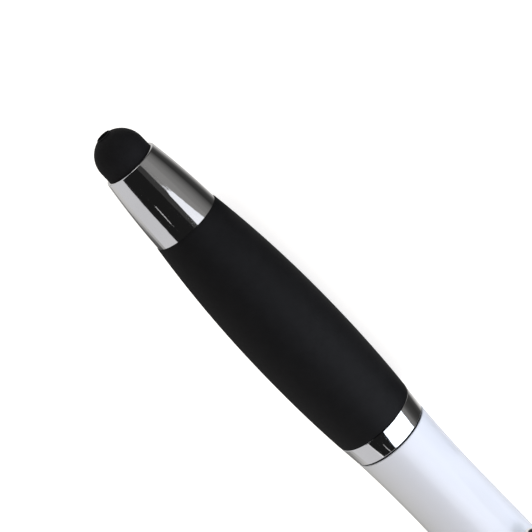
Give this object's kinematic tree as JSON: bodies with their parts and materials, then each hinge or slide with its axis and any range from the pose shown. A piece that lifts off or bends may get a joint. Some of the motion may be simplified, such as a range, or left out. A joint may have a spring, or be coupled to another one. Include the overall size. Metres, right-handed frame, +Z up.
{
  "type": "stylus ballpoint pen",
  "caption": "Twist-action ballpoint pen with a rubber stylus dome that the ballpoint comes out through, a chrome nose cone, a soft black grip, a white barrel and a pocket clip.",
  "frame": {"origin": "under the middle of the pen, on the surface that it lies on", "axes": "+X along the pen from the stylus to the end cap, +Y out through the clip, +Z up"},
  "size_m": [0.14, 0.0142, 0.013],
  "materials": {
    "stylus_rubber": "satin",
    "chrome": "polished",
    "grip_rubber": "satin",
    "white_plastic": "gloss",
    "dark_plastic": "matte",
    "natural_plastic": "satin",
    "seal_rubber": "matte",
    "spring_steel": "satin",
    "clear_plastic": "gloss",
    "ink": "gloss",
    "tip_metal": "satin",
    "ball_metal": "polished"
  },
  "bodies": {
    "lower": {"stylus_tip": "stylus_rubber", "nose_cone": "chrome", "grip_core": "dark_plastic", "grip_sleeve": "grip_rubber", "centre_ring": "chrome", "friction_ring": "seal_rubber", "guide_tube": "natural_plastic", "snap_ring": "spring_steel", "return_spring": "spring_steel"},
    "upper": {"barrel": "white_plastic", "cam_sleeve": "natural_plastic", "cap_plug": "dark_plastic", "end_cap": "chrome"},
    "clip": {"clip": "chrome"},
    "refill": {"plunger": "natural_plastic", "refill_tube": "clear_plastic", "ink_column": "ink", "tip_holder": "natural_plastic", "refill_tip": "tip_metal"},
    "ball": {"writing_ball": "ball_metal"}
  },
  "joints": [
    {"name": "barrel_twist", "type": "hinge", "parent": "lower", "child": "upper", "pos_m": [0, -0.00061, 0.0065], "axis": [1, 0, 0], "range_deg": [0, 180]},
    {"name": "refill_slide", "type": "slide", "parent": "lower", "child": "refill", "axis": [-1, 0, 0], "range_m": [0, 0.0045], "deforming": ["return_spring"]},
    {"name": "ball_roll", "type": "hinge", "parent": "refill", "child": "ball", "pos_m": [-0.06815, -0.00061, 0.0065], "axis": [0, 1, 0], "continuous": true},
    {"name": "clip_lift", "type": "hinge", "parent": "upper", "child": "clip", "pos_m": [0.0594, 0.00474, 0.0065], "axis": [0, 0, -1], "range_deg": [0, 2.5], "stiffness_Nm_per_rad": 3}
  ],
  "couplings": [
    {"joint": "refill_slide", "follows": "barrel_twist", "m_per_rad": 0.0014324}
  ]
}
